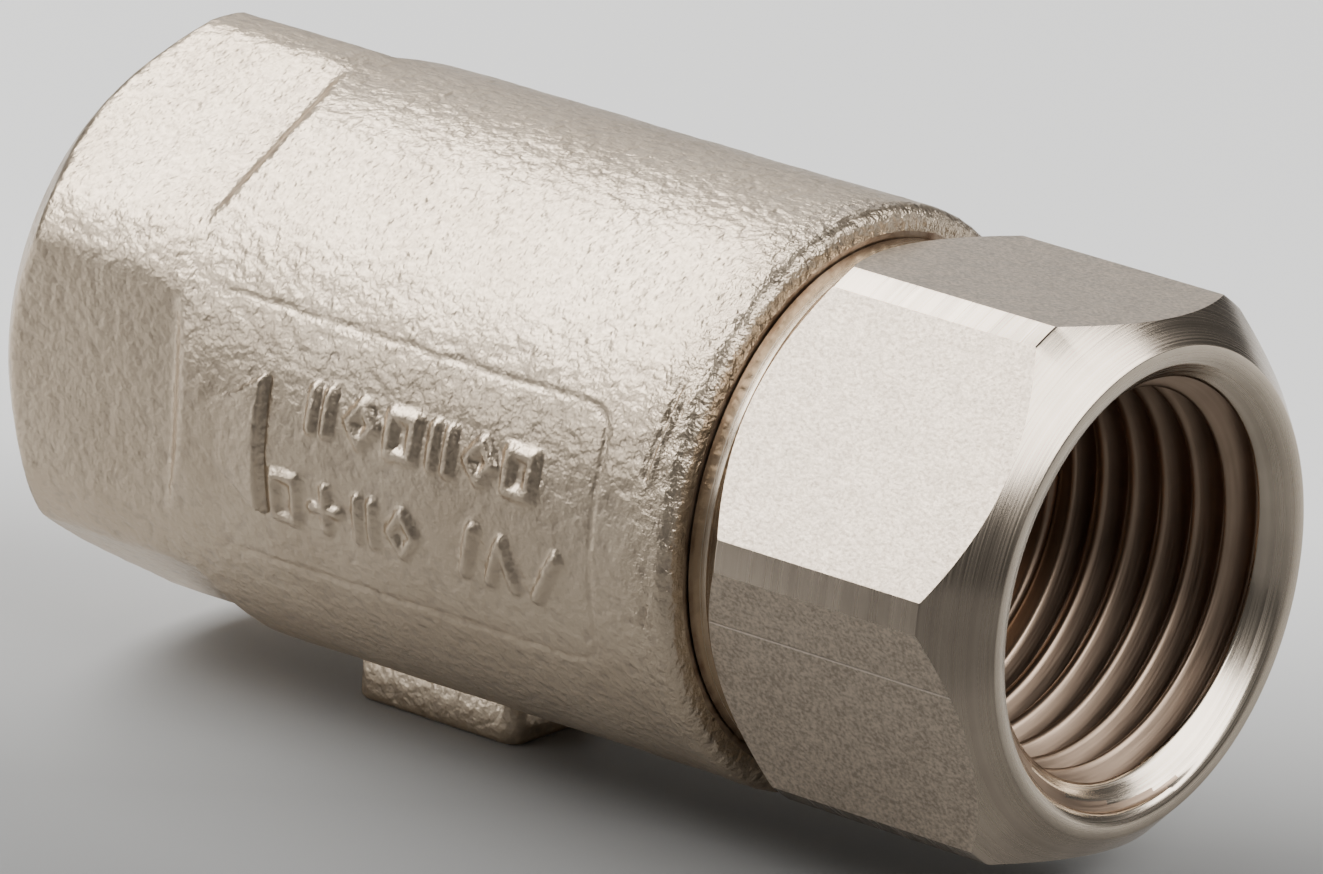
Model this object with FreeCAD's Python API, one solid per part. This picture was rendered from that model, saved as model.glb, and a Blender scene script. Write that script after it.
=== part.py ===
import FreeCAD, Part
import math
import os

# In-line spring check valve for 1/2 inch taper pipe thread: a cast body with a hexagonal outlet
# end, and a machined hexagonal end cap that screws into its other end and carries the seat.
# Millimetres. +X runs along the flow axis from the outlet end face (origin) to the inlet end
# face, +Z is up, and the label side faces -Y.

# ---- Driving sizes --------------------------------------------------------------------------
PIPE_BORE_R = 9.128          # tap-drill radius of the pipe thread, at both ends
BODY_LENGTH = 42.0           # outlet end face to the mouth that takes the end cap
CAP_HEX_LENGTH = 15.9        # inlet end face to the back of the hexagon's rear chamfer

# ---- Body interior, from the pipe bore outwards ---------------------------------------------
PIPE_THREAD_DEPTH = 14.2     # bored depth of the connection from the end face, inlet end
COUNTERSINK = 1.772          # 45 degree countersink round each pipe bore
GUIDE_LEDGE = 1.872          # radial width of the shoulder under the stem guide
CHAMBER_LENGTH = 25.5        # from the shoulder under the stem guide to the body's mouth
SEAL_LEDGE = 1.0             # radial width of the shoulder under the body seal
SEAL_SHOULDER_DEPTH = 7.5    # from the body's mouth to the shoulder under the body seal
SEAL_THICKNESS = 1.0

PORT_MOUTH_R = PIPE_BORE_R + COUNTERSINK
CHAMBER_R = PIPE_BORE_R + GUIDE_LEDGE
CAP_THREAD_R = CHAMBER_R + SEAL_LEDGE    # pitch radius of the thread between body and end cap

# ---- Cast body ------------------------------------------------------------------------------
BODY_WALL = 2.1              # outside the cap thread
CORNER_HEIGHT = 0.2          # the cast corners of the hexagonal end stand out this far
FLAT_DEPTH = 1.05            # the cast flats lie this far inside the barrel's radius
HEX_END_LENGTH = 11.2        # flats, measured to the foot of their run-out ramp
RAMP_ANGLE = 42.0            # run-out of each flat up to the barrel, degrees from the axis
END_CHAMFER = 2.1            # 45 degree chamfer round the outlet end
MOUTH_ROUND = 0.8            # axial length of the rounded lip
MOUTH_ROUND_DEPTH = 0.7      # radial depth of the rounded lip
GATE_STUB_START = 15.0       # casting gate stub under the barrel
GATE_STUB_LENGTH = 10.0
GATE_STUB_WIDTH = 6.4
GATE_STUB_DROP = 1.95        # how far the stub stands below the barrel
GATE_STUB_ROUND = 0.9

BARREL_R = CAP_THREAD_R + BODY_WALL
HEX_END_CORNER_R = BARREL_R + CORNER_HEIGHT
HEX_END_ACROSS_FLATS = 2 * (BARREL_R - FLAT_DEPTH)
MOUTH_FLAT_R = BARREL_R - MOUTH_ROUND_DEPTH    # outer edge of the flat ring at the mouth

# ---- End cap --------------------------------------------------------------------------------
CAP_LAND_WIDTH = 0.75        # flat land round the countersink
CAP_TURN = 5.1               # how far a corner of the cap stands above the label side, degrees
CAP_NECK_HEIGHT = 0.6        # neck behind the hexagon, outside the cap thread
CAP_NECK_LENGTH = 1.1
CAP_FLAT_HEIGHT = 0.1        # the flats lie this far outside the neck
CAP_CORNER_HEIGHT = 1.64     # and the turned corners this far
NOSE_LENGTH = 2.5            # pilot nose in front of the body seal
NOSE_GAP = 0.4               # between the nose and the chamber
NOSE_WALL = 1.0

CAP_LAND_R = PORT_MOUTH_R + CAP_LAND_WIDTH
CAP_NECK_R = CAP_THREAD_R + CAP_NECK_HEIGHT
CAP_CORNER_R = CAP_NECK_R + CAP_CORNER_HEIGHT
CAP_ACROSS_FLATS = 2 * (CAP_NECK_R + CAP_FLAT_HEIGHT)
NOSE_R = CHAMBER_R - NOSE_GAP
POCKET_R = NOSE_R - NOSE_WALL

# ---- Seat and closure head ------------------------------------------------------------------
SEAT_THICKNESS = 2.0
SEAT_CONTACT_SHARE = 0.3     # where the ball meets the seat, as a share of its thickness
RETAINER_THICKNESS = 0.9
RETAINER_WIDTH = 1.15
RETAINER_GAP = 0.25          # between the head and the seat retainer
HEAD_OVERLAP = 1.85          # the head's rim lies this far outside the port
HEAD_BALL_HEIGHT = 0.8       # the ball's radius is this much more than the rim's
CONTACT_OFFSET = 0.65        # from the edge of the port to the contact circle
HEAD_RIM_WIDTH = 0.75
HEAD_CONE_LENGTH = 2.6       # 45 degree cone behind the rim
BOSS_LENGTH = 2.2

RETAINER_R = POCKET_R - RETAINER_WIDTH
HEAD_RIM_R = RETAINER_R - RETAINER_GAP
HEAD_BALL_R = HEAD_RIM_R + HEAD_BALL_HEIGHT
HEAD_BACK_R = HEAD_RIM_R - HEAD_CONE_LENGTH
PORT_R = HEAD_RIM_R - HEAD_OVERLAP       # flow port between the inlet thread and the seat
SEAT_CONTACT_R = PORT_R + CONTACT_OFFSET

# ---- Stem, guide and spring -----------------------------------------------------------------
STEM_R = 1.6
STEM_CHAMFER = 0.4
STEM_IN_HEAD = 4.2
LIFT = 3.8                   # full travel off the seat
HUB_SHARE = 0.3              # radius of the guide's hub, and of the head's boss, to the chamber's
GUIDE_THICKNESS = 2.5
GUIDE_RIM_WALL = 1.35
GUIDE_ARM_WIDTH = 1.6
GUIDE_ARMS = 4
HUB_LENGTH = 5.4
SPRING_WIRE_R = 0.3
SPRING_TURNS = 5.5
SPRING_PLAY = 0.95           # between the hub and the inside of the spring

HUB_R = HUB_SHARE * CHAMBER_R
BOSS_R = HUB_R
SPRING_R = HUB_R + SPRING_PLAY + SPRING_WIRE_R

# ---- Clearances -----------------------------------------------------------------------------
LOOSE = 0.05                 # radial play of parts dropped into a bore
RUNNING = 0.05               # radial play of the stem in its guide
SEAT_GAP = 0.04              # keeps the head's ball just off the uncompressed seat
MOUTH_GAP = 0.05             # between the cap's neck and the body's mouth
SPRING_GAP = 0.02            # at each end of the spring
STEM_END_GAP = 0.2           # the closed stem stays this far inside the guide shoulder

# ---- Places along the axis ------------------------------------------------------------------
HEX_SIDES = 6
GUIDE_SHOULDER_X = BODY_LENGTH - CHAMBER_LENGTH
CAP_BACK_X = BODY_LENGTH + MOUTH_GAP
CAP_SHOULDER_X = CAP_BACK_X + CAP_NECK_LENGTH
INLET_X = CAP_SHOULDER_X + CAP_HEX_LENGTH
SEAL_SHOULDER_X = BODY_LENGTH - SEAL_SHOULDER_DEPTH
SEAL_FACE_X = SEAL_SHOULDER_X + SEAL_THICKNESS
NOSE_END_X = SEAL_FACE_X - NOSE_LENGTH
SEAT_X = NOSE_END_X + RETAINER_THICKNESS
POCKET_FLOOR_X = SEAT_X + SEAT_THICKNESS
CONTACT_X = SEAT_X + SEAT_CONTACT_SHARE * SEAT_THICKNESS
CONTACT_ANGLE = math.asin(SEAT_CONTACT_R / HEAD_BALL_R)
BALL_X = CONTACT_X - HEAD_BALL_R * math.cos(CONTACT_ANGLE) - SEAT_GAP
RIM_X = BALL_X + math.sqrt(HEAD_BALL_R ** 2 - HEAD_RIM_R ** 2)
HEAD_BACK_X = RIM_X - HEAD_RIM_WIDTH - HEAD_CONE_LENGTH
GUIDE_FRONT_X = GUIDE_SHOULDER_X + GUIDE_THICKNESS
STEM_START_X = GUIDE_SHOULDER_X + STEM_END_GAP
STEM_END_X = HEAD_BACK_X - BOSS_LENGTH + STEM_IN_HEAD

X_AXIS = FreeCAD.Vector(1, 0, 0)
ORIGIN = FreeCAD.Vector(0, 0, 0)


def turned(outline):
    """A solid turned about the flow axis, from corner points given as (x, radius)."""
    corners = [FreeCAD.Vector(x, radius, 0) for x, radius in outline]
    face = Part.Face(Part.makePolygon(corners + corners[:1]))
    return face.revolve(ORIGIN, X_AXIS, 360)


def rod(start_x, end_x, radius):
    """A plain round bar along the flow axis."""
    return Part.makeCylinder(radius, end_x - start_x, FreeCAD.Vector(start_x, 0, 0), X_AXIS)


def ring(start_x, end_x, inner_r, outer_r):
    """A plain ring about the flow axis."""
    return rod(start_x, end_x, outer_r).cut(rod(start_x, end_x, inner_r))


def flat_cutter(outline, width):
    """Removes what lies outside one flat. The outline is (x, distance from the axis)."""
    corners = [FreeCAD.Vector(x, -reach, -width / 2) for x, reach in outline]
    face = Part.Face(Part.makePolygon(corners + corners[:1]))
    return face.extrude(FreeCAD.Vector(0, 0, width))


def cut_flats(shape, outline, width, turn):
    """Cuts the six flats of a hexagon. Turn is the angle of its first flat, in degrees."""
    cutter = flat_cutter(outline, width)
    for side in range(HEX_SIDES):
        turned_cutter = cutter.copy()
        turned_cutter.rotate(ORIGIN, X_AXIS, turn + side * 360 / HEX_SIDES)
        shape = shape.cut(turned_cutter)
    return shape


def port_mouth(face_x, inward):
    """Countersink at a pipe connection. Inward is +1 or -1, the way into the valve."""
    depth = PORT_MOUTH_R - PIPE_BORE_R
    return turned([(face_x - inward, 0), (face_x - inward, PORT_MOUTH_R),
                   (face_x, PORT_MOUTH_R), (face_x + inward * depth, PIPE_BORE_R),
                   (face_x + inward * depth, 0)])


def gate_stub():
    """The rounded block left where the casting's gate was cut off."""
    bottom = BARREL_R + GATE_STUB_DROP
    corner = FreeCAD.Vector(GATE_STUB_START, -GATE_STUB_WIDTH / 2, -bottom)
    block = Part.makeBox(GATE_STUB_LENGTH, GATE_STUB_WIDTH, bottom - CHAMBER_R, corner)
    upright = [edge for edge in block.Edges if abs(edge.tangentAt(0).z) > 0.9]
    block = block.makeFillet(GATE_STUB_ROUND, upright)
    bore = rod(GATE_STUB_START - 1, GATE_STUB_START + GATE_STUB_LENGTH + 1, CHAMBER_R + 1)
    return block.cut(bore)


def valve_body():
    """Cast body: round barrel, hexagonal outlet end, gate stub, and the bored inside."""
    shell = turned([(0, 0), (0, HEX_END_CORNER_R - END_CHAMFER),
                    (END_CHAMFER, HEX_END_CORNER_R),
                    (HEX_END_LENGTH - END_CHAMFER, HEX_END_CORNER_R),
                    (HEX_END_LENGTH, BARREL_R),
                    (BODY_LENGTH - MOUTH_ROUND, BARREL_R),
                    (BODY_LENGTH, MOUTH_FLAT_R), (BODY_LENGTH, 0)])
    flat = HEX_END_ACROSS_FLATS / 2
    beyond = HEX_END_CORNER_R + 2
    ramp = (beyond - flat) / math.tan(math.radians(RAMP_ANGLE))
    flats = [(-1, flat), (HEX_END_LENGTH, flat), (HEX_END_LENGTH + ramp, beyond), (-1, beyond)]
    shell = cut_flats(shell, flats, 2 * HEX_END_CORNER_R, 0)
    shell = shell.fuse(gate_stub())
    shell = shell.cut(port_mouth(0, 1))
    shell = shell.cut(rod(0, GUIDE_SHOULDER_X, PIPE_BORE_R))
    shell = shell.cut(rod(GUIDE_SHOULDER_X, SEAL_SHOULDER_X, CHAMBER_R))
    return shell.cut(rod(SEAL_SHOULDER_X, BODY_LENGTH, CAP_THREAD_R))


def inlet_end_cap():
    """End cap turned from hexagonal bar, with the pipe connection, threaded nose and seat pocket."""
    front_chamfer = CAP_CORNER_R - CAP_LAND_R
    rear_chamfer = CAP_CORNER_R - CAP_NECK_R
    cap = turned([(NOSE_END_X, 0), (NOSE_END_X, NOSE_R), (SEAL_FACE_X, NOSE_R),
                  (SEAL_FACE_X, CAP_THREAD_R), (CAP_BACK_X, CAP_THREAD_R),
                  (CAP_BACK_X, CAP_NECK_R), (CAP_SHOULDER_X, CAP_NECK_R),
                  (CAP_SHOULDER_X + rear_chamfer, CAP_CORNER_R),
                  (INLET_X - front_chamfer, CAP_CORNER_R), (INLET_X, CAP_LAND_R), (INLET_X, 0)])
    flat = CAP_ACROSS_FLATS / 2
    beyond = CAP_CORNER_R + 2
    flats = [(CAP_BACK_X, flat), (INLET_X + 1, flat), (INLET_X + 1, beyond), (CAP_BACK_X, beyond)]
    half_side = 180 / HEX_SIDES
    cap = cut_flats(cap, flats, 2 * CAP_CORNER_R, half_side - CAP_TURN)
    cap = cap.cut(port_mouth(INLET_X, -1))
    cap = cap.cut(rod(INLET_X - PIPE_THREAD_DEPTH, INLET_X, PIPE_BORE_R))
    cap = cap.cut(rod(NOSE_END_X, INLET_X, PORT_R))
    return cap.cut(rod(NOSE_END_X, POCKET_FLOOR_X, POCKET_R))


def body_seal_ring():
    """Flat ring squeezed between the cap's nose and the shoulder in the body."""
    return ring(SEAL_SHOULDER_X, SEAL_FACE_X, CHAMBER_R + LOOSE, CAP_THREAD_R - LOOSE)


def seat_ring():
    """Soft seat with a cone that is tangent to the closure head's ball."""
    slope = 1 / math.tan(CONTACT_ANGLE)
    face_r = SEAT_CONTACT_R + (CONTACT_X - SEAT_X) * slope
    cone_end_x = CONTACT_X + (SEAT_CONTACT_R - PORT_R) / slope
    return turned([(SEAT_X, face_r), (SEAT_X, POCKET_R), (POCKET_FLOOR_X, POCKET_R),
                   (POCKET_FLOOR_X, PORT_R), (cone_end_x, PORT_R)])


def seat_retainer():
    """Thin ring pressed into the pocket, over the soft seat."""
    return ring(NOSE_END_X, SEAT_X, RETAINER_R, POCKET_R)


def ball_cone():
    """Closure head: ball-shaped front, short rim, conical back and a boss for the stem."""
    apex = FreeCAD.Vector(BALL_X + HEAD_BALL_R, 0, 0)
    rim = FreeCAD.Vector(RIM_X, HEAD_RIM_R, 0)
    middle_angle = math.asin(HEAD_RIM_R / HEAD_BALL_R) / 2
    middle = FreeCAD.Vector(BALL_X + HEAD_BALL_R * math.cos(middle_angle),
                            HEAD_BALL_R * math.sin(middle_angle), 0)
    boss_x = HEAD_BACK_X - BOSS_LENGTH
    back = [rim] + [FreeCAD.Vector(x, radius, 0) for x, radius in [
        (RIM_X - HEAD_RIM_WIDTH, HEAD_RIM_R), (HEAD_BACK_X, HEAD_BACK_R), (HEAD_BACK_X, BOSS_R),
        (boss_x, BOSS_R), (boss_x, 0)]] + [apex]
    edges = [Part.Arc(apex, middle, rim).toShape()]
    edges += [Part.makeLine(start, end) for start, end in zip(back, back[1:])]
    head = Part.Face(Part.Wire(edges)).revolve(ORIGIN, X_AXIS, 360)
    return head.cut(rod(boss_x, STEM_END_X, STEM_R))


def poppet_stem():
    """Round stem pressed into the closure head, with a chamfered free end."""
    return turned([(STEM_START_X, 0), (STEM_START_X, STEM_R - STEM_CHAMFER),
                   (STEM_START_X + STEM_CHAMFER, STEM_R), (STEM_END_X, STEM_R), (STEM_END_X, 0)])


def stem_guide():
    """Guide spider: a rim that sits in the chamber, arms between the flow ways, and a hub."""
    rim_r = CHAMBER_R - LOOSE
    rim_inner_r = rim_r - GUIDE_RIM_WALL
    guide = ring(GUIDE_SHOULDER_X, GUIDE_FRONT_X, rim_inner_r, rim_r)
    guide = guide.fuse(rod(GUIDE_SHOULDER_X, GUIDE_SHOULDER_X + HUB_LENGTH, HUB_R))
    reach = rim_inner_r + GUIDE_RIM_WALL / 2
    for arm_number in range(GUIDE_ARMS):
        arm = Part.makeBox(GUIDE_THICKNESS, GUIDE_ARM_WIDTH, reach,
                           FreeCAD.Vector(GUIDE_SHOULDER_X, -GUIDE_ARM_WIDTH / 2, 0))
        arm.rotate(ORIGIN, X_AXIS, (arm_number + 0.5) * 360 / GUIDE_ARMS)
        guide = guide.fuse(arm)
    bore = rod(GUIDE_SHOULDER_X - 1, GUIDE_SHOULDER_X + HUB_LENGTH + 1, STEM_R + RUNNING)
    return guide.cut(bore).removeSplitter()


def closing_spring():
    """Compression spring from the guide's arms to the back of the closure head."""
    start_x = GUIDE_FRONT_X + SPRING_WIRE_R + SPRING_GAP
    length = HEAD_BACK_X - SPRING_WIRE_R - SPRING_GAP - start_x
    path = Part.makeLongHelix(length / SPRING_TURNS, length, SPRING_R)
    section = Part.makeCircle(SPRING_WIRE_R, FreeCAD.Vector(SPRING_R, 0, 0),
                              FreeCAD.Vector(0, 1, 0))
    coil = Part.Wire(path).makePipeShell([Part.Wire(section)], True, True)
    coil.rotate(ORIGIN, FreeCAD.Vector(0, 1, 0), 90)
    coil.rotate(ORIGIN, X_AXIS, 180 / GUIDE_ARMS)    # so that the wire starts over an arm
    coil.translate(FreeCAD.Vector(start_x, 0, 0))
    return coil


PIECES = {
    "valve_body": valve_body,
    "inlet_end_cap": inlet_end_cap,
    "body_seal_ring": body_seal_ring,
    "seat_ring": seat_ring,
    "seat_retainer": seat_retainer,
    "ball_cone": ball_cone,
    "poppet_stem": poppet_stem,
    "stem_guide": stem_guide,
    "closing_spring": closing_spring,
}

os.makedirs("parts", exist_ok=True)
for name, make in PIECES.items():
    shape = make()
    box = shape.BoundBox
    print(f"{name}: solids {len(shape.Solids)}, valid {shape.isValid()}, volume {shape.Volume:.1f}, "
          f"x {box.XMin:.2f} to {box.XMax:.2f}, radius to {max(box.YMax, box.ZMax):.2f}")
    shape.exportStep(f"parts/{name}.step")

open_spring = HEAD_BACK_X - LIFT - GUIDE_FRONT_X
solid_spring = (SPRING_TURNS + 1) * 2 * SPRING_WIRE_R
print(f"spring at full lift {open_spring:.2f}, solid {solid_spring:.2f}")
print(f"hub to boss at full lift {HEAD_BACK_X - BOSS_LENGTH - LIFT - GUIDE_SHOULDER_X - HUB_LENGTH:.2f}")
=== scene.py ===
import bpy
import bmesh
import math
from mathutils import Matrix, Vector, noise


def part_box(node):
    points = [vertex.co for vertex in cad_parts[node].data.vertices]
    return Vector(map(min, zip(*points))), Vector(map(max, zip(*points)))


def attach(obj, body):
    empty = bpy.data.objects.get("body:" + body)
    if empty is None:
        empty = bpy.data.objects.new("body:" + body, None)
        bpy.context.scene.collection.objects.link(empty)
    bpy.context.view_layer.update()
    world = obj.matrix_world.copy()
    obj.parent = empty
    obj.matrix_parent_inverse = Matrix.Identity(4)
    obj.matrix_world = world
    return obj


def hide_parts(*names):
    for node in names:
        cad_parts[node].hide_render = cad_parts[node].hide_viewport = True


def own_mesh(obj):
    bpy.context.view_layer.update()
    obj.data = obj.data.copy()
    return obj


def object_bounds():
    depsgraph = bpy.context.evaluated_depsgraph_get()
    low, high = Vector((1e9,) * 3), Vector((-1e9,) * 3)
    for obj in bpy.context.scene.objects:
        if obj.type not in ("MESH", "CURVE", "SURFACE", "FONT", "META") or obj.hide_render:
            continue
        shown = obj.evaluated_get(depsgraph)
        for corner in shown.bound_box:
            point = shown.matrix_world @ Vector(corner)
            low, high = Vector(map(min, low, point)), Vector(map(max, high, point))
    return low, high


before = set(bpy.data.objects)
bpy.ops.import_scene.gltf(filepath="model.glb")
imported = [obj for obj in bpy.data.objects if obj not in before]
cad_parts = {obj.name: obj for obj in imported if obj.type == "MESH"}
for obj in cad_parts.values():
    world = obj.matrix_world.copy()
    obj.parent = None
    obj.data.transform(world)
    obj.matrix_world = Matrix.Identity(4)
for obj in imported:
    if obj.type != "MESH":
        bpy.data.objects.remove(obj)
cad_low, cad_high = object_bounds()

MM = 0.001
MERGE = 2e-6
FULL_TURN = 2 * math.pi

# ---- Places taken from the frame ------------------------------------------------------------
body_low, body_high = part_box("valve_body")
cap_low, cap_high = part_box("inlet_end_cap")
seal_low, seal_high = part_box("body_seal_ring")
guide_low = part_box("stem_guide")[0]
seat_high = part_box("seat_ring")[1]
spring_low, spring_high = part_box("closing_spring")

OUTLET_X = body_low.x
BODY_END_X = body_high.x
INLET_X = cap_high.x
BARREL_R = body_high.y

# ---- Cast body ------------------------------------------------------------------------------
CAST_FLAT = 13.05 * MM          # axis to each cast flat
CAST_CORNER_R = 14.3 * MM
CAST_FLATS_END = 11.2 * MM      # foot of the ramps that run the flats out into the barrel
RAMP_SLOPE = math.tan(math.radians(42))
CAST_CHAMFER = 2.1 * MM
LIP_FLAT_R = 13.4 * MM
LIP_ROUND = 0.8 * MM
CHAMBER_R = 11.0 * MM
CAP_THREAD_R = 12.0 * MM
STUB_LOW = Vector((15.0, -3.2, -16.05)) * MM
STUB_HIGH = Vector((25.0, 3.2, -12.6)) * MM

# ---- End cap --------------------------------------------------------------------------------
CAP_FLAT = 12.7 * MM
CAP_CORNER_R = 14.24 * MM
CAP_LAND_R = 11.65 * MM
CAP_NECK_R = 12.6 * MM
CAP_NOSE_R = 10.6 * MM
CAP_BACK_X = BODY_END_X + 0.05 * MM
CAP_SHOULDER_X = CAP_BACK_X + 1.1 * MM
CAP_TURN = math.radians(5.1)
SCRATCH = (-12.85 * MM, -2.48 * MM)     # a line along the cap, as its y and z
PORT_R = 6.35 * MM
BORE_END_X = INLET_X - 14.2 * MM

# ---- Spring ---------------------------------------------------------------------------------
WIRE_R = 0.3 * MM
SPRING_R = 4.53 * MM
SPRING_TURNS = 6.5
CLOSED_TURNS = 0.9              # coil against coil at each end
CLOSED_PITCH = 0.61 * MM

# ---- Pipe thread, the same at both ends -----------------------------------------------------
BORE_R = 9.128 * MM
MOUTH_R = 10.9 * MM
THREAD_PITCH = 1.814 * MM
THREAD_ROOT_R = 10.61 * MM      # at the end face, from where it tapers
THREAD_ROOT_FLAT = 0.07 * MM
THREAD_TAPER = 1 / 32
THREAD_DEPTH = 13.6 * MM
THREAD_FADE = 2.4 * MM          # length over which the tap's lead runs the thread out
THREAD_MARGIN = 0.25 * MM       # plain length left at each end of the threaded wall
FLANK_SLOPE = math.tan(math.radians(60))


# ---- Small helpers --------------------------------------------------------------------------
def smooth_step(low, high, value):
    t = min(max((value - low) / (high - low), 0.0), 1.0)
    return t * t * (3 - 2 * t)


def soft_min(a, b, width):
    """The smaller of two lengths, blended over a width where they cross."""
    h = max(width - abs(a - b), 0.0) / width
    return min(a, b) - h * h * width / 4


def spaced(start, end, spacing):
    """Evenly spaced values from start to end, both included, about one spacing apart."""
    count = max(1, round(abs(end - start) / spacing))
    return [start + (end - start) * i / count for i in range(count + 1)]


def divided(outline, spacing):
    """An (x, radius) outline with points added so that none is more than a spacing apart."""
    points = [outline[0]]
    for (x0, r0), (x1, r1) in zip(outline, outline[1:]):
        parts = len(spaced(0, math.hypot(x1 - x0, r1 - r0), spacing)) - 1
        points += [(x0 + (x1 - x0) * i / parts, r0 + (r1 - r0) * i / parts)
                   for i in range(1, parts + 1)]
    return points


def eased(outline, radius, segments=3):
    """An (x, radius) outline with each inner corner replaced by a small curve."""
    points = [outline[0]]
    for before, corner, after in zip(outline, outline[1:], outline[2:]):
        a, c, b = Vector(before), Vector(corner), Vector(after)
        reach = min(radius, (a - c).length / 2.5, (b - c).length / 2.5)
        start = c + (a - c).normalized() * reach
        end = c + (b - c).normalized() * reach
        for i in range(segments + 1):
            t = i / segments
            p = start * (1 - t) ** 2 + c * 2 * t * (1 - t) + end * t ** 2
            points.append((p.x, p.y))
    return points + [outline[-1]]


def spin_outline(bm, outline, sectors, first_angle=0.0):
    """Spins an (x, radius) outline round the flow axis. Sectors are (angle, steps) pairs, and
    angles run downwards from the label side."""
    verts = [bm.verts.new((x, -r * math.cos(first_angle), -r * math.sin(first_angle)))
             for x, r in outline]
    edges = [bm.edges.new(pair) for pair in zip(verts, verts[1:])]
    current = verts + edges
    for angle, count in sectors:
        done = bmesh.ops.spin(bm, geom=current, cent=(0, 0, 0), axis=(1, 0, 0),
                              dvec=(0, 0, 0), angle=angle, steps=count, use_merge=False)
        current = done["geom_last"]
    bmesh.ops.remove_doubles(bm, verts=bm.verts[:], dist=MERGE)


def boundary_near(bm, x, radius):
    """The open edges that lie on a circle round the flow axis."""
    def on_circle(vert):
        return abs(vert.co.x - x) < 0.02 * MM and abs(vert.co.yz.length - radius) < 0.05 * MM
    return [e for e in bm.edges if e.is_boundary and all(on_circle(v) for v in e.verts)]


def finish_piece(bm, name, body, materials, replaces=()):
    """Turns a bmesh into a smooth-shaded piece that rides on a body."""
    for face in bm.faces:
        face.smooth = True
    mesh = bpy.data.meshes.new(name)
    bm.to_mesh(mesh)
    bm.free()
    piece = bpy.data.objects.new(name, mesh)
    bpy.context.scene.collection.objects.link(piece)
    for material in materials:
        mesh.materials.append(material)
    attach(piece, body)
    if replaces:
        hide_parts(*replaces)
    return piece


# ---- Materials ------------------------------------------------------------------------------
def add_node(tree, kind, inputs=None, **settings):
    """A shader node, with settings on it and each input either linked or set."""
    made = tree.nodes.new(kind)
    for key, value in settings.items():
        setattr(made, key, value)
    for key, value in (inputs or {}).items():
        if isinstance(value, bpy.types.NodeSocket):
            tree.links.new(value, made.inputs[key])
        else:
            made.inputs[key].default_value = value
    return made


def start_material(name, color, metallic, roughness):
    """A material with its shader and its Object coordinates."""
    material = bpy.data.materials.new(name)
    material.use_nodes = True
    tree = material.node_tree
    tree.nodes.clear()
    shader = add_node(tree, "ShaderNodeBsdfPrincipled", {
        "Base Color": (*color, 1), "Metallic": metallic, "Roughness": roughness})
    output = add_node(tree, "ShaderNodeOutputMaterial")
    tree.links.new(shader.outputs[0], output.inputs["Surface"])
    place = add_node(tree, "ShaderNodeTexCoord").outputs["Object"]
    return material, tree, shader, place


def noise_of(tree, place, size, detail=2.0, roughness=0.5, stretch=(1, 1, 1)):
    """Noise whose features are about one size across, in metres."""
    mapped = add_node(tree, "ShaderNodeMapping", {"Vector": place, "Scale": stretch})
    return add_node(tree, "ShaderNodeTexNoise", {
        "Vector": mapped.outputs[0], "Scale": 1 / size, "Detail": detail,
        "Roughness": roughness}).outputs["Fac"]


def ranged(tree, value, low, high, to_low, to_high):
    """Maps a value from one range to another, clamped."""
    return add_node(tree, "ShaderNodeMapRange", {
        "Value": value, "From Min": low, "From Max": high,
        "To Min": to_low, "To Max": to_high}).outputs[0]


def maths(tree, operation, a, b=0.0):
    made = add_node(tree, "ShaderNodeMath", operation=operation)
    for socket, value in zip(made.inputs, (a, b)):
        if isinstance(value, bpy.types.NodeSocket):
            tree.links.new(value, socket)
        else:
            socket.default_value = value
    return made.outputs[0]


def tinted(tree, factor, color_a, color_b):
    """Mixes two colours, each given as a socket or as three numbers."""
    ends = {6: color_a, 7: color_b}
    for key, color in ends.items():
        if not isinstance(color, bpy.types.NodeSocket):
            ends[key] = (*color, 1)
    return add_node(tree, "ShaderNodeMix", {"Factor": factor, **ends},
                    data_type="RGBA").outputs[2]


def add_bump(tree, shader, layers):
    """Chains bumps. Each layer is (height, depth in metres, strength)."""
    normal = None
    for height, depth, strength in layers:
        inputs = {"Height": height, "Distance": depth, "Strength": strength}
        if normal:
            inputs["Normal"] = normal
        normal = add_node(tree, "ShaderNodeBump", inputs).outputs[0]
    tree.links.new(normal, shader.inputs["Normal"])


def axis_parts(tree, place):
    """The distance along the flow axis and from it, for patterns that follow turning."""
    split = add_node(tree, "ShaderNodeSeparateXYZ", {"Vector": place})
    squares = maths(tree, "ADD", maths(tree, "POWER", split.outputs[1], 2.0),
                    maths(tree, "POWER", split.outputs[2], 2.0))
    return split.outputs[0], maths(tree, "SQRT", squares)


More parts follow.
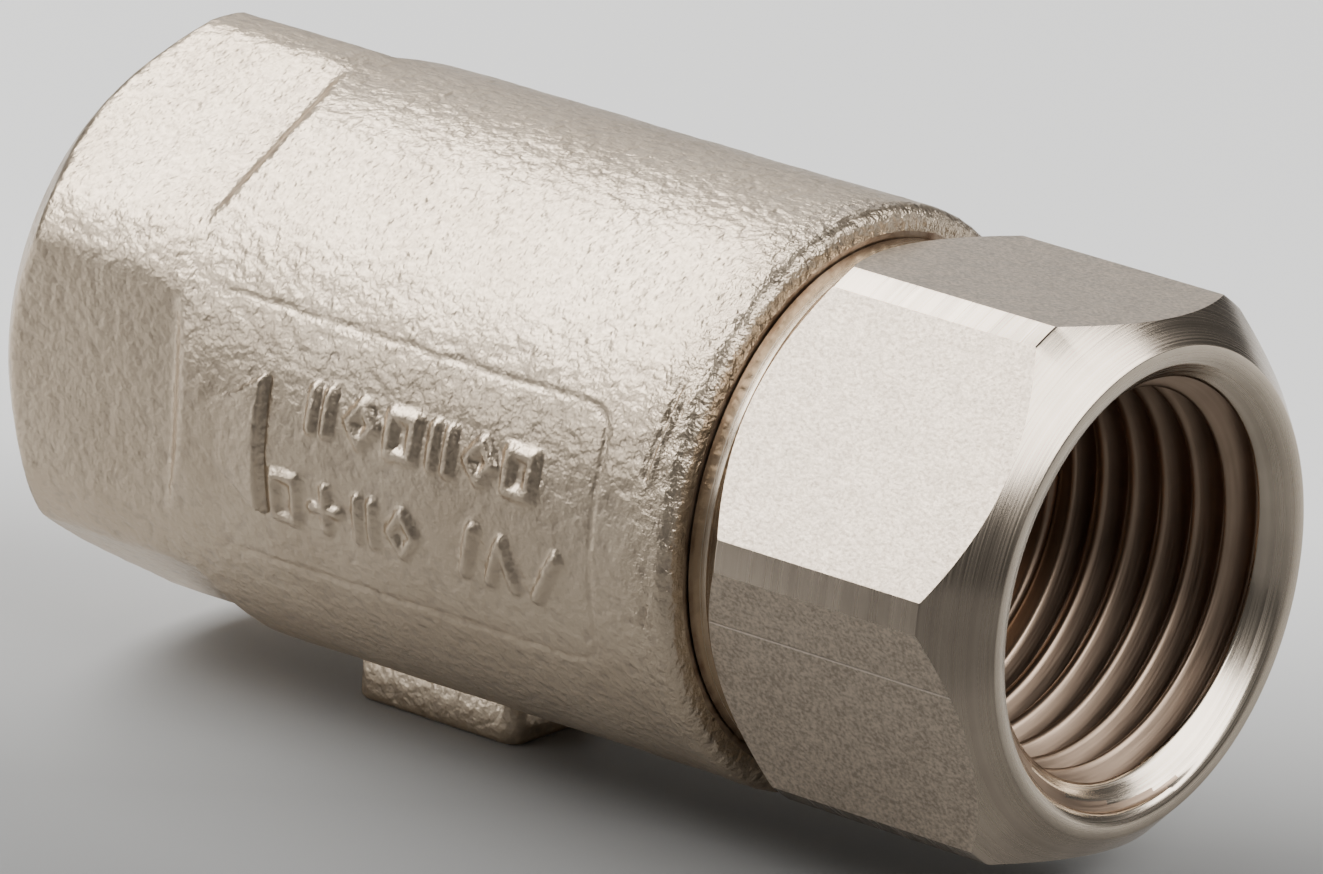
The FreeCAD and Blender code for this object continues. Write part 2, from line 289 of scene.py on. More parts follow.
def cast_steel():
    """Blasted investment casting: warm pale grey with a sandy, orange-peel grain."""
    material, tree, shader, place = start_material("cast_steel", (0.6, 0.53, 0.46), 1.0, 0.3)
    grain = noise_of(tree, place, 0.62 * MM, 2.0, 0.45)
    fine = noise_of(tree, place, 0.24 * MM, 1.0, 0.5)
    broad = noise_of(tree, place, 6 * MM, 2.0)
    along, _ = axis_parts(tree, place)
    lip = ranged(tree, along, BODY_END_X - 3.5 * MM, BODY_END_X - 1.5 * MM, 0.0, 1.0)
    rough_lip = maths(tree, "MULTIPLY", noise_of(tree, place, 0.5 * MM, 3.0, 0.6), lip)
    pale = tinted(tree, ranged(tree, broad, 0.35, 0.65, 0, 1), (0.65, 0.535, 0.405),
                  (0.585, 0.475, 0.355))
    hollows = ranged(tree, grain, 0.30, 0.46, 0.35, 0.0)
    color = tinted(tree, hollows, pale, (0.36, 0.29, 0.235))
    tree.links.new(color, shader.inputs["Base Color"])
    tree.links.new(ranged(tree, fine, 0.3, 0.7, 0.30, 0.42), shader.inputs["Roughness"])
    add_bump(tree, shader, [(grain, 0.15 * MM, 0.85), (fine, 0.04 * MM, 0.6),
                            (rough_lip, 0.25 * MM, 0.7)])
    return material


def blasted_steel():
    """The cap's flats: matte with a fine, even sparkle, and one scratch along a lower flat."""
    material, tree, shader, place = start_material("blasted_steel", (0.58, 0.5, 0.42), 1.0, 0.38)
    sparkle = noise_of(tree, place, 0.2 * MM, 2.0, 0.6)
    patches = noise_of(tree, place, 0.8 * MM, 3.0, 0.6)
    mixed = maths(tree, "ADD", maths(tree, "MULTIPLY", sparkle, 0.7),
                  maths(tree, "MULTIPLY", patches, 0.3))
    grainy = tinted(tree, ranged(tree, mixed, 0.36, 0.62, 0, 1), (0.39, 0.32, 0.25),
                    (0.68, 0.57, 0.455))
    scratch_y, scratch_z = SCRATCH
    across = add_node(tree, "ShaderNodeCombineXYZ", {"Y": scratch_y, "Z": scratch_z}).outputs[0]
    flattened = add_node(tree, "ShaderNodeVectorMath", {0: place, 1: (0.0, 1.0, 1.0)},
                         operation="MULTIPLY").outputs[0]
    away = add_node(tree, "ShaderNodeVectorMath", {0: flattened, 1: across},
                    operation="DISTANCE").outputs["Value"]
    scratch = ranged(tree, away, 0.03 * MM, 0.08 * MM, 1.0, 0.0)
    color = tinted(tree, maths(tree, "MULTIPLY", scratch, 0.8), grainy, (0.88, 0.76, 0.64))
    tree.links.new(color, shader.inputs["Base Color"])
    tree.links.new(ranged(tree, patches, 0.3, 0.7, 0.30, 0.42), shader.inputs["Roughness"])
    add_bump(tree, shader, [(sparkle, 0.035 * MM, 0.6), (scratch, -0.03 * MM, 0.8)])
    return material


def turned_steel(name, color, roughness, groove):
    """Lathe-turned steel: fine rings round the flow axis."""
    material, tree, shader, place = start_material(name, color, 1.0, roughness)
    along, out = axis_parts(tree, place)
    rings = add_node(tree, "ShaderNodeCombineXYZ", {"X": along, "Y": out}).outputs[0]
    tool = noise_of(tree, rings, 0.10 * MM, 2.0, 0.6)
    wide = noise_of(tree, rings, 0.45 * MM, 2.0, 0.6)
    smear = noise_of(tree, place, 2.5 * MM, 2.0, 0.5)
    tree.links.new(ranged(tree, tool, 0.3, 0.7, roughness - 0.06, roughness + 0.12),
                   shader.inputs["Roughness"])
    darker = tuple(c * 0.78 for c in color)
    streaks = maths(tree, "ADD", maths(tree, "MULTIPLY", wide, 0.6),
                    maths(tree, "MULTIPLY", smear, 0.4))
    tree.links.new(tinted(tree, ranged(tree, streaks, 0.35, 0.65, 0, 1), darker, color),
                   shader.inputs["Base Color"])
    add_bump(tree, shader, [(tool, groove, 0.5), (wide, groove * 2, 0.4)])
    return material


def sealant_and_shade_steel():
    """The narrow ring at the body's mouth, browned by thread sealant and darkened with painted
    shade from the gap under the cap.
    """
    material, tree, shader, place = start_material("sealant_and_shade_steel", (0.4, 0.3, 0.22), 1.0, 0.4)
    patches = noise_of(tree, place, 1.2 * MM, 3.0, 0.6)
    tree.links.new(tinted(tree, ranged(tree, patches, 0.35, 0.65, 0, 1), (0.52, 0.42, 0.33),
                          (0.30, 0.21, 0.15)), shader.inputs["Base Color"])
    add_bump(tree, shader, [(patches, 0.05 * MM, 0.6)])
    return material


def spring_wire():
    """Drawn stainless wire, slightly streaked."""
    material, tree, shader, place = start_material("spring_wire", (0.62, 0.6, 0.57), 1.0, 0.25)
    streaks = noise_of(tree, place, 0.3 * MM, 2.0, 0.6, (0.25, 1, 1))
    tree.links.new(ranged(tree, streaks, 0.3, 0.7, 0.2, 0.38), shader.inputs["Roughness"])
    tree.links.new(tinted(tree, streaks, (0.5, 0.48, 0.45), (0.68, 0.66, 0.63)),
                   shader.inputs["Base Color"])
    add_bump(tree, shader, [(streaks, 0.01 * MM, 0.4)])
    return material


def polymer(name, dark, light, roughness):
    """Moulded fluoropolymer with filler specks."""
    material, tree, shader, place = start_material(name, light, 0.0, roughness)
    specks = noise_of(tree, place, 0.25 * MM, 2.0, 0.6)
    tree.links.new(tinted(tree, ranged(tree, specks, 0.38, 0.6, 0, 1), dark, light),
                   shader.inputs["Base Color"])
    tree.links.new(ranged(tree, specks, 0.3, 0.7, roughness - 0.08, roughness + 0.08),
                   shader.inputs["Roughness"])
    add_bump(tree, shader, [(specks, 0.02 * MM, 0.4)])
    return material


FLOOR_PAINTED_SHADE = (-22 * MM, 78 * MM)     # where the painted shade on the table deepens, out on the label side


def floor_with_painted_shade():
    """A pale matte table with painted shade that deepens out on the label side, so the metal's
    lower sides reflect dark.
    """
    material, tree, shader, place = start_material("floor_with_painted_shade", (0.8, 0.8, 0.79), 0.0, 0.7)
    across = add_node(tree, "ShaderNodeVectorMath", {0: place, 1: (0.6155, -0.788, 0.0)},
                      operation="DOT_PRODUCT").outputs["Value"]
    drift = maths(tree, "MULTIPLY", noise_of(tree, place, 60 * MM, 2.0), 4 * MM)
    painted_shade_ramp = add_node(tree, "ShaderNodeValToRGB", {"Fac": ranged(
        tree, maths(tree, "ADD", across, drift), FLOOR_PAINTED_SHADE[0], FLOOR_PAINTED_SHADE[1], 0, 1)})
    stops = painted_shade_ramp.color_ramp.elements
    stops[0].color = (0.86, 0.86, 0.85, 1)
    stops[1].color = (0.08, 0.08, 0.08, 1)
    stops.new(0.5).color = (0.30, 0.30, 0.295, 1)
    tree.links.new(painted_shade_ramp.outputs["Color"], shader.inputs["Base Color"])
    return material


CAST = cast_steel()
BLASTED = blasted_steel()
TURNED = turned_steel("turned_steel", (0.61, 0.51, 0.405), 0.2, 0.006 * MM)
# A lighter copy of the turned steel, painted light: it brightens the cap's neck and land, the
# countersinks, the ball and the stem.
TURNED_PAINTED_LIGHT = turned_steel("turned_steel_painted_light", (0.68, 0.58, 0.465), 0.2, 0.005 * MM)
# A darker, browner copy of the turned steel, painted shade: it darkens the bores, the chamber and
# the threads.
BORE_PAINTED_SHADE = turned_steel("bored_steel_painted_shade", (0.41, 0.3, 0.22), 0.36, 0.005 * MM)
SEALANT_AND_SHADE = sealant_and_shade_steel()
WIRE = spring_wire()
SEAT_POLYMER = polymer("filled_polymer", (0.16, 0.09, 0.05), (0.3, 0.19, 0.12), 0.5)
SEAL_POLYMER = polymer("white_polymer", (0.74, 0.73, 0.7), (0.84, 0.83, 0.8), 0.45)


# ---- Pipe thread ----------------------------------------------------------------------------
def thread_radius(depth, phase):
    """Radius of the tapped hole at a depth from its end face. Phase is the place in the pitch,
    from 0 to 1, with the root at one half."""
    root = THREAD_ROOT_R - depth * THREAD_TAPER
    lead = smooth_step(0, THREAD_FADE, THREAD_DEPTH - depth)
    root = BORE_R + (root - BORE_R) * lead
    from_root = max(abs(phase - 0.5) * THREAD_PITCH - THREAD_ROOT_FLAT / 2, 0)
    return max(root - from_root * FLANK_SLOPE, BORE_R, MOUTH_R - depth)


def helical_wall(face_x, inward, ends):
    """The threaded wall of a tapped hole as one helical surface, trimmed square at both ends."""
    rows, columns = 16, 160
    first = ends[0] - 1.5 * THREAD_PITCH
    count = math.ceil((ends[1] - first + THREAD_PITCH) / THREAD_PITCH * rows)
    bm = bmesh.new()
    verts = [bm.verts.new((first + i * THREAD_PITCH / rows, -BORE_R, 0)) for i in range(count)]
    edges = [bm.edges.new(pair) for pair in zip(verts, verts[1:])]
    bmesh.ops.spin(bm, geom=verts + edges, cent=(0, 0, 0), axis=(1, 0, 0),
                   dvec=(THREAD_PITCH / columns, 0, 0), angle=FULL_TURN, steps=columns,
                   use_merge=False)
    bmesh.ops.remove_doubles(bm, verts=bm.verts[:], dist=MERGE)
    for limit, direction in zip(ends, (-1, 1)):
        bmesh.ops.bisect_plane(bm, geom=bm.verts[:] + bm.edges[:] + bm.faces[:], dist=1e-8,
                               plane_co=(limit, 0, 0), plane_no=(direction, 0, 0),
                               clear_outer=True)
    for vert in bm.verts:
        turn = math.atan2(-vert.co.z, -vert.co.y) / FULL_TURN
        phase = ((vert.co.x - first) / THREAD_PITCH - turn) % 1
        scale = thread_radius(abs(vert.co.x - face_x), phase) / vert.co.yz.length
        vert.co.yz = vert.co.yz * scale
    mesh = bpy.data.meshes.new("helical_wall")
    bm.to_mesh(mesh)
    bm.free()
    return mesh


def tap_hole(bm, face_x, inward, wall_index, countersink_index):
    """Adds a threaded wall between a countersink's mouth and the bore behind it. Each index is
    the place of its material on the piece."""
    ends = sorted((face_x + inward * THREAD_MARGIN, face_x + inward * THREAD_DEPTH))
    wall = helical_wall(face_x, inward, ends)
    bm.from_mesh(wall)
    bpy.data.meshes.remove(wall)
    mouth = boundary_near(bm, face_x, MOUTH_R)
    mouth += boundary_near(bm, face_x + inward * THREAD_MARGIN, MOUTH_R - THREAD_MARGIN)
    foot = boundary_near(bm, face_x + inward * THREAD_DEPTH, BORE_R)
    foot += boundary_near(bm, face_x + inward * (THREAD_DEPTH + THREAD_MARGIN), BORE_R)
    for edges in (mouth, foot):
        bmesh.ops.bridge_loops(bm, edges=edges)
    # The countersink takes the lighter copy of the turned steel, painted light, and the threaded
    # wall the darker copy, painted shade, as the callers pass them.
    for face in bm.faces:
        middle = face.calc_center_median()
        depth, reach = abs(middle.x - face_x), middle.yz.length
        if reach < MOUTH_R and depth < THREAD_DEPTH + THREAD_MARGIN:
            on_countersink = abs(reach - MOUTH_R + depth) < 0.03 * MM
            face.material_index = countersink_index if on_countersink else wall_index


# ---- Cast body ------------------------------------------------------------------------------
LABEL_TOP = math.radians(25.5)          # the label panel, as angles up from the label side
LABEL_BOTTOM = math.radians(-27)
LABEL_LOW_X = 13.0 * MM
LABEL_HIGH_X = 37.4 * MM
LABEL_RISE = -0.03 * MM
LABEL_CORNER = 1.6 * MM
MARK_RISE = 0.3 * MM
MARK_EDGE = 0.24 * MM
BULGE_ANGLE = -1.75                     # a low swelling on the underside, round the gate stub
BULGE_RISE = 0.22 * MM


def box_distance(x, y, half_x, half_y, corner=0.0):
    """Signed distance to a rounded rectangle centred on zero; negative inside."""
    dx, dy = abs(x) - half_x + corner, abs(y) - half_y + corner
    return math.hypot(max(dx, 0), max(dy, 0)) + min(max(dx, dy), 0) - corner


def stroke_distance(x, y, x0, y0, x1, y1):
    """Distance to the line between two points."""
    along_x, along_y = x1 - x0, y1 - y0
    t = ((x - x0) * along_x + (y - y0) * along_y) / (along_x ** 2 + along_y ** 2)
    t = min(max(t, 0), 1)
    return math.hypot(x - x0 - along_x * t, y - y0 - along_y * t)


# Raised marks, as lines in a unit square that is stretched to each mark's size.
SQUARE = [(0, 0, 1, 0), (1, 0, 1, 1), (1, 1, 0, 1), (0, 1, 0, 0)]
DIAMOND = [(0.5, 0, 1, 0.5), (1, 0.5, 0.5, 1), (0.5, 1, 0, 0.5), (0, 0.5, 0.5, 0)]
BARS = [(0.15, 0, 0.15, 1), (0.85, 0, 0.85, 1)]
CROSS = [(0.5, 0, 0.5, 1), (0, 0.5, 1, 0.5)]
CHEVRON = [(0, 0, 0.5, 1), (0.5, 1, 1, 0)]
SLANT = [(0, 0, 1, 1)]
MARKS = []                              # lines with the half width of their stroke
for shape, left, low, width, height, half_stroke in [
        (BARS, 20.3, 1.15, 1.3, 1.9, 0.3), (DIAMOND, 22.7, 1.15, 1.5, 1.9, 0.3),
        (SQUARE, 25.2, 1.15, 1.35, 1.9, 0.3), (BARS, 27.6, 1.15, 1.3, 1.9, 0.3),
        (DIAMOND, 29.9, 1.15, 1.5, 1.9, 0.3), (SQUARE, 32.3, 1.15, 1.35, 1.9, 0.3),
        (SQUARE, 18.3, -3.7, 1.3, 2.1, 0.24), (CROSS, 20.7, -3.7, 1.5, 2.1, 0.24),
        (BARS, 23.2, -3.7, 1.3, 2.1, 0.24), (DIAMOND, 25.4, -3.7, 1.5, 2.1, 0.24),
        (SLANT, 29.9, -3.5, 0.5, 2.3, 0.3), (CHEVRON, 31.4, -3.6, 1.5, 2.2, 0.28),
        (SLANT, 34.2, -3.7, 1.2, 2.3, 0.3)]:
    MARKS += [((left + width * x0) * MM, (low + height * y0) * MM, (left + width * x1) * MM,
               (low + height * y1) * MM, half_stroke * MM) for x0, y0, x1, y1 in shape]


def marks_distance(x, up):
    """Signed distance to the nearest raised mark, with x along the valve and up round it."""
    nearest = 1.0
    for x0, y0, x1, y1, half_stroke in MARKS:
        if min(x0, x1) - MM < x < max(x0, x1) + MM and min(y0, y1) - MM < up < max(y0, y1) + MM:
            nearest = min(nearest, stroke_distance(x, up, x0, y0, x1, y1) - half_stroke)
    return nearest


def arrow_rise(x, up):
    """Height of the flow arrow: a wedge that is highest at its base and fades to its tip."""
    tip_x, base_x, half = 12.2 * MM, 17.45 * MM, 3.45 * MM
    up += 0.45 * MM
    if not tip_x < x < base_x + 0.6 * MM:
        return 0.0
    t = (x - tip_x) / (base_x - tip_x)
    side = smooth_step(-0.12 * MM, 0.12 * MM, half * min(t, 1) - abs(up))
    end = 1 - smooth_step(base_x - 0.1 * MM, base_x + 0.1 * MM, x)
    groove = 0.2 * MM * math.exp(-((x - base_x - 0.12 * MM) / (0.13 * MM)) ** 2) * side
    return 0.38 * MM * t * smooth_step(0.0, 1.0, t) * side * end - groove


def label_rise(x, angle):
    """How far the label panel, its marks and the arrow stand above the barrel."""
    if not (LABEL_BOTTOM - 0.2 < angle < LABEL_TOP + 0.2 and x < LABEL_HIGH_X + 1 * MM):
        return 0.0
    up = angle * BARREL_R
    middle_up = (LABEL_TOP + LABEL_BOTTOM) / 2 * BARREL_R
    half_up = (LABEL_TOP - LABEL_BOTTOM) / 2 * BARREL_R
    middle_x, half_x = (LABEL_LOW_X + LABEL_HIGH_X) / 2, (LABEL_HIGH_X - LABEL_LOW_X) / 2
    panel = box_distance(x - middle_x, up - middle_up, half_x, half_up, LABEL_CORNER)
    panel += noise.noise(Vector((x, up, 0)) * 700) * 0.12 * MM
    rise = LABEL_RISE * smooth_step(0.3 * MM, -0.3 * MM, panel)
    rise -= 0.085 * MM * math.exp(-(panel / (0.14 * MM)) ** 2)
    rise *= smooth_step(LABEL_LOW_X, LABEL_LOW_X + 2 * MM, x)
    marks = marks_distance(x, up) if abs(up) < 5 * MM else 1.0
    rise += MARK_RISE * smooth_step(MARK_EDGE, -MARK_EDGE, marks)
    return rise + arrow_rise(x, up)


NICKS = [(40.67, 8.19, 40.57, 6.51), (40.62, 6.84, 40.27, 3.80), (40.9, -2.6, 40.8, -3.3)]


def lip_damage(x, up):
    """Handling damage on the lip: bruises pressed in, with a sharp burr beside each."""
    damage = 0.0
    for x0, up0, x1, up1 in NICKS:
        away = stroke_distance(x, up, x0 * MM, up0 * MM, x1 * MM, up1 * MM)
        beside = stroke_distance(x, up, (x0 - 0.28) * MM, up0 * MM, (x1 - 0.28) * MM, up1 * MM)
        damage += 0.13 * MM * smooth_step(0.18 * MM, 0.04 * MM, away)
        damage -= 0.10 * MM * smooth_step(0.26 * MM, 0.08 * MM, beside)
    return damage


def cast_surface(point):
    """Where a point of the plain barrel lies on the real casting."""
    x = point.x
    radius = point.yz.length
    angle = math.atan2(point.z, -point.y)
    outward = Vector((0, -math.cos(angle), math.sin(angle)))
    radius += label_rise(x, angle)
    place = Vector((x, radius * outward.y, radius * outward.z))
    run_out = max(0.0, x - CAST_FLATS_END) * RAMP_SLOPE
    if run_out < 2 * MM:
        side = round(angle / (FULL_TURN / 6)) * FULL_TURN / 6
        flat = Vector((0, -math.cos(side), math.sin(side)))
        reach = place.dot(flat)
        limit = soft_min(reach, CAST_FLAT + run_out, 0.26 * MM)
        place += flat * (limit - reach)
    swell = noise.noise(place * 280) * 0.05 * MM + noise.noise(place * 1000) * 0.025 * MM
    low_side = math.exp(-((angle - BULGE_ANGLE) / 0.5) ** 2) * smooth_step(10 * MM, 14 * MM, x)
    swell += BULGE_RISE * low_side * (1 - smooth_step(20 * MM, 30 * MM, x))
    lip = smooth_step(BODY_END_X - 4 * MM, BODY_END_X - 0.5 * MM, x)
    swell += noise.noise(place * 1500) * 0.05 * MM * lip + lip_damage(x, angle * BARREL_R)
    away = smooth_step(MOUTH_R, MOUTH_R + 1 * MM, radius)
    return place + outward * swell * away


def build_valve_body():
    painted_shade, sealant_and_shade, painted_light = 1, 2, 3        # places of the materials after the cast steel
    bm = bmesh.new()
    lip_start = BODY_END_X - LIP_ROUND
    lip = [(BODY_END_X, LIP_FLAT_R - 0.5 * MM), (BODY_END_X, LIP_FLAT_R - 0.15 * MM)]
    lip += [(lip_start + LIP_ROUND * math.cos(t),
             LIP_FLAT_R + (BARREL_R - LIP_FLAT_R) * math.sin(t))
            for t in spaced(0.15, math.pi / 2, 0.25)]
    barrel = [(x, BARREL_R) for x in spaced(lip_start, 38 * MM, 0.13 * MM)[1:]]
    barrel += [(x, BARREL_R) for x in spaced(38 * MM, 12.6 * MM, 0.15 * MM)[1:]]
    barrel += [(x, BARREL_R + (CAST_CORNER_R - BARREL_R) * smooth_step(12.6 * MM, 9 * MM, x))
               for x in spaced(12.6 * MM, CAST_CHAMFER, 0.26 * MM)[1:]]
    chamfer_end_r = CAST_CORNER_R - CAST_CHAMFER
    chamfer = [(x, chamfer_end_r + x) for x in spaced(CAST_CHAMFER, 0, 0.26 * MM)[1:]]
    face = [(0, r) for r in spaced(chamfer_end_r, MOUTH_R, 0.4 * MM)[1:]]
    inside = divided([(THREAD_DEPTH + THREAD_MARGIN, BORE_R), (guide_low.x, BORE_R),
                      (guide_low.x, CHAMBER_R), (seal_low.x, CHAMBER_R),
                      (seal_low.x, CAP_THREAD_R), (BODY_END_X, CAP_THREAD_R),
                      (BODY_END_X, LIP_FLAT_R - 0.5 * MM)], 3 * MM)
    dense = math.radians(60)
    sectors = [(dense, 100), (FULL_TURN - dense, 150)]
    spin_outline(bm, inside[:-1] + lip + barrel + chamfer + face, sectors, -dense / 2)
    for vert in bm.verts:
        if vert.co.yz.length > LIP_FLAT_R - 1.5 * MM and vert.co.x > 1e-6:
            vert.co = cast_surface(vert.co)
    # Painted shade: bore and chamber faces take the darker copy of the turned steel, and the mouth
    # ring takes sealant brown with painted shade.
    for f in bm.faces:
        middle = f.calc_center_median()
        reach = middle.yz.length
        if reach < CAP_THREAD_R + 0.1 * MM and middle.x > 1e-6 and reach < CHAMBER_R + 1.1 * MM:
            f.material_index = painted_shade
        elif reach < CAP_NECK_R + 0.35 * MM and middle.x > BODY_END_X - 0.3 * MM:
            f.material_index = sealant_and_shade
    tap_hole(bm, OUTLET_X, 1, painted_shade, painted_light)
    bmesh.ops.recalc_face_normals(bm, faces=bm.faces[:])
    add_gate_stub(bm)
    return finish_piece(bm, "cast_body", "housing", [CAST, BORE_PAINTED_SHADE, SEALANT_AND_SHADE, TURNED_PAINTED_LIGHT], ["valve_body"])


def add_gate_stub(bm):
    """The rounded block left where the casting's gate was cut off."""
    size = STUB_HIGH - STUB_LOW
    made = bmesh.ops.create_cube(bm, size=1, matrix=Matrix.Translation((STUB_LOW + STUB_HIGH) / 2)
                                 @ Matrix.Diagonal((*size, 1)))
    verts = made["verts"]
    edges = list({e for v in verts for e in v.link_edges})
    upright = [e for e in edges if abs((e.verts[0].co - e.verts[1].co).normalized().z) > 0.9]
    bmesh.ops.bevel(bm, geom=upright, offset=0.9 * MM, offset_type="OFFSET", affect="EDGES",
                    segments=5, profile=0.5, material=-1)
    low = [e for e in bm.edges if all(v.co.z < STUB_LOW.z + 1e-6 for v in e.verts)
           and len(e.link_faces) == 2 and abs(e.calc_face_angle()) > 1]
    bmesh.ops.bevel(bm, geom=low, offset=0.3 * MM, offset_type="OFFSET", affect="EDGES",
                    segments=3, profile=0.5, material=-1)


# ---- End cap --------------------------------------------------------------------------------
def build_end_cap():
    blasted, painted_light, painted_shade = 1, 2, 3        # places of the materials after the turned steel
    bm = bmesh.new()
    front = CAP_CORNER_R - CAP_LAND_R
    rear = CAP_CORNER_R - CAP_NECK_R
    nose_end_x = cap_low.x
    outline = eased([
        (INLET_X - THREAD_DEPTH - THREAD_MARGIN, BORE_R), (BORE_END_X, BORE_R),
        (BORE_END_X, PORT_R), (seat_high.x, PORT_R),
        (seat_high.x, seat_high.y), (nose_end_x, seat_high.y), (nose_end_x, CAP_NOSE_R),
        (seal_high.x, CAP_NOSE_R), (seal_high.x, CAP_THREAD_R), (CAP_BACK_X, CAP_THREAD_R),
        (CAP_BACK_X, CAP_NECK_R), (CAP_SHOULDER_X, CAP_NECK_R),
        (CAP_SHOULDER_X + rear, CAP_CORNER_R), (INLET_X - front, CAP_CORNER_R),
        (INLET_X, CAP_LAND_R), (INLET_X, MOUTH_R)], 0.06 * MM)
    spin_outline(bm, outline, [(FULL_TURN, 240)])
    for side in range(6):
        turn = CAP_TURN + (side + 0.5) * FULL_TURN / 6
        flat = Vector((0, -math.cos(turn), math.sin(turn)))
        cut = bmesh.ops.bisect_plane(bm, geom=bm.verts[:] + bm.edges[:] + bm.faces[:],
                                     dist=1e-7, plane_co=flat * CAP_FLAT, plane_no=flat,
                                     clear_outer=True)
        rim = [g for g in cut["geom_cut"] if isinstance(g, bmesh.types.BMEdge)]
        bmesh.ops.edgeloop_fill(bm, edges=rim, mat_nr=blasted)
    bmesh.ops.recalc_face_normals(bm, faces=bm.faces[:])
    rims = [e for e in bm.edges if len(e.link_faces) == 2
            and e.link_faces[0].material_index != e.link_faces[1].material_index]
    for edge in rims:
        edge.smooth = False
    outside = [v for v in bm.verts if v.co.x > CAP_BACK_X and v.co.yz.length > CAP_LAND_R]
    bmesh.ops.remove_doubles(bm, verts=outside, dist=0.012 * MM)
    # Painted light: the neck and the land take the lighter copy of the turned steel. Painted
    # shade: the bore takes the darker copy.
    for f in bm.faces:
        middle = f.calc_center_median()
        on_neck = CAP_BACK_X < middle.x < CAP_SHOULDER_X + rear and middle.yz.length > CAP_THREAD_R
        on_land = middle.x > INLET_X - 0.05 * MM and middle.yz.length < CAP_LAND_R
        if (on_neck or on_land) and f.material_index != blasted:
            f.material_index = painted_light
        elif middle.yz.length < BORE_R + 0.2 * MM and middle.x > seat_high.x - 0.1 * MM:
            f.material_index = painted_shade
    tap_hole(bm, INLET_X, -1, painted_shade, painted_light)
    bmesh.ops.recalc_face_normals(bm, faces=bm.faces[:])
    return finish_piece(bm, "end_cap", "housing", [TURNED, BLASTED, TURNED_PAINTED_LIGHT, BORE_PAINTED_SHADE],
                        ["inlet_end_cap"])


# ---- Spring ---------------------------------------------------------------------------------
def build_spring():
    """A compression spring with closed ends, from the guide to the back of the closure head."""
    start = spring_low.x + WIRE_R
    length = spring_high.x - spring_low.x - 2 * WIRE_R
    open_turns = SPRING_TURNS - 2 * CLOSED_TURNS
    open_pitch = (length - 2 * CLOSED_TURNS * CLOSED_PITCH) / open_turns
    spun_pitch, per_turn = 2 * MM, 72
    bm = bmesh.new()
    made = bmesh.ops.create_circle(bm, segments=16, radius=WIRE_R,
                                   matrix=Matrix.Translation((start, -SPRING_R, 0)))
    bmesh.ops.spin(bm, geom=made["verts"] + bm.edges[:], cent=(0, 0, 0), axis=(1, 0, 0),
                   dvec=(spun_pitch / per_turn, 0, 0), angle=FULL_TURN * SPRING_TURNS,
                   steps=round(per_turn * SPRING_TURNS), use_merge=False)
    bmesh.ops.holes_fill(bm, edges=[e for e in bm.edges if e.is_boundary], sides=0)
    for vert in bm.verts:
        part = math.atan2(-vert.co.z, -vert.co.y) / FULL_TURN % 1
        turn = part + round((vert.co.x - start) / spun_pitch - part)
        opened = min(max(turn - CLOSED_TURNS, 0), open_turns)
        vert.co.x += CLOSED_PITCH * (turn - opened) + open_pitch * opened - spun_pitch * turn
    bmesh.ops.recalc_face_normals(bm, faces=bm.faces[:])
    spring = finish_piece(bm, "wire_spring", "housing", [WIRE], ["closing_spring"])
    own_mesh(spring)
    return spring


build_valve_body()
build_end_cap()
build_spring()
# The ball and the stem take the lighter copy of the turned steel, painted light.
for node_name, material in (("ball_cone", TURNED_PAINTED_LIGHT), ("poppet_stem", TURNED_PAINTED_LIGHT),
                            ("stem_guide", TURNED), ("seat_retainer", TURNED),
                            ("seat_ring", SEAT_POLYMER),
                            ("body_seal_ring", SEAL_POLYMER)):
    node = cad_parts[node_name]
    node.data.materials.clear()
    node.data.materials.append(material)


# ---- Floor, light and camera ----------------------------------------------------------------
def build_floor():
    bm = bmesh.new()
    bmesh.ops.create_grid(bm, x_segments=1, y_segments=1, size=3,
                          matrix=Matrix.Translation((0, 0, cad_low.z - 0.05 * MM)))
    mesh = bpy.data.meshes.new("floor")
    bm.to_mesh(mesh)
    bm.free()
    floor = bpy.data.objects.new("floor", mesh)
    bpy.context.scene.collection.objects.link(floor)
    mesh.materials.append(floor_with_painted_shade())


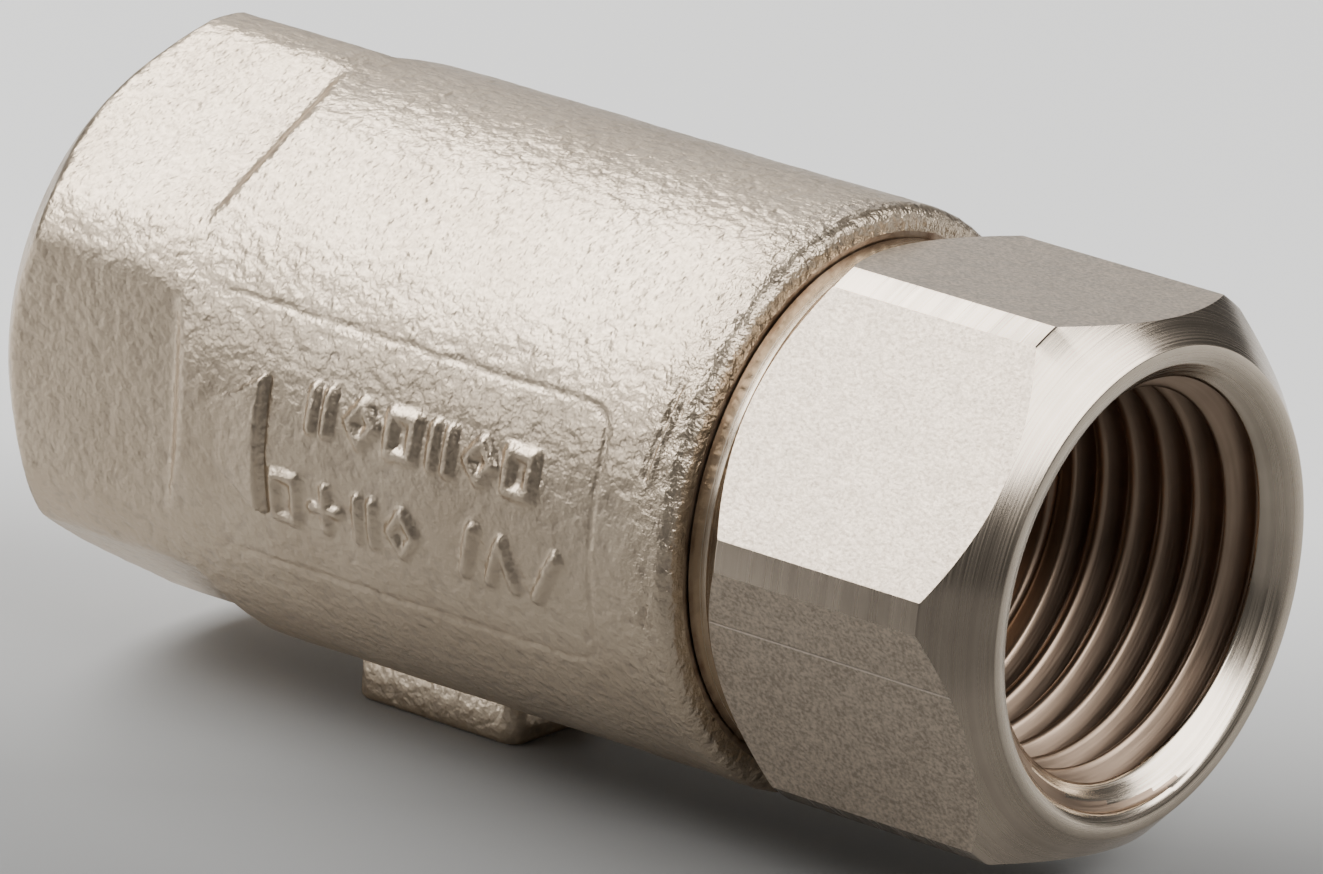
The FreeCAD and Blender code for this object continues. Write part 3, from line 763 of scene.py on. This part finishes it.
def add_softbox(name, aim, direction, distance, along, size, power):
    """A rectangular light seen in a direction from its aim. Its second side runs along a line."""
    light = bpy.data.lights.new(name, "AREA")
    light.shape = "RECTANGLE"
    light.size, light.size_y = size
    light.energy = power
    back = Vector(direction).normalized()
    side = Vector(along)
    side = (side - back * side.dot(back)).normalized()
    lamp = bpy.data.objects.new(name, light)
    lamp.location = Vector(aim) + back * distance
    lamp.rotation_euler = Matrix((side.cross(back), side, back)).transposed().to_euler()
    bpy.context.scene.collection.objects.link(lamp)


def add_camera(aim, azimuth, elevation, distance, roll, lens):
    """A camera that looks at a point, from angles in degrees."""
    a, e = math.radians(azimuth), math.radians(elevation)
    back = Vector((math.sin(a) * math.cos(e), -math.cos(a) * math.cos(e), math.sin(e)))
    data = bpy.data.cameras.new("camera")
    data.lens = lens
    data.clip_start, data.clip_end = 0.02, 10
    camera = bpy.data.objects.new("camera", data)
    camera.location = aim + back * distance
    turn = (-back).to_track_quat("-Z", "Y")
    camera.rotation_mode = "QUATERNION"
    camera.rotation_quaternion = turn @ Matrix.Rotation(math.radians(roll), 3, "Z").to_quaternion()
    bpy.context.scene.collection.objects.link(camera)
    bpy.context.scene.camera = camera


def set_sky(strength):
    world = bpy.data.worlds.new("room")
    world.use_nodes = True
    world.node_tree.nodes["Background"].inputs["Color"].default_value = (1, 1, 1, 1)
    world.node_tree.nodes["Background"].inputs["Strength"].default_value = strength
    bpy.context.scene.world = world


build_floor()
add_softbox("key_softbox", (0.03, 0, 0), (-0.585, -0.17, 0.73), 0.8, (0, 1, 0), (0.34, 1.1), 10.3)
add_softbox("back_softbox", (0.03, 0, 0), (-0.585, 0.72, 0.42), 0.8, (0, -0.4, 0.8), (0.34, 0.5),
            0.5)
add_softbox("low_softbox", (0.02, 0, 0), (-0.585, -0.78, 0.26), 0.9, (0, 0, 1), (0.5, 0.22), 0.95)
add_softbox("right_softbox", (0.05, 0, 0), (0.70, 0.08, 0.66), 0.8, (0, 1, 0), (0.34, 1.2), 8.5)
set_sky(0.085)
add_camera(Vector((31.2, -1.3, 0.7)) * MM, 38.04, 18.2, 0.600, 3.56, 349.1)
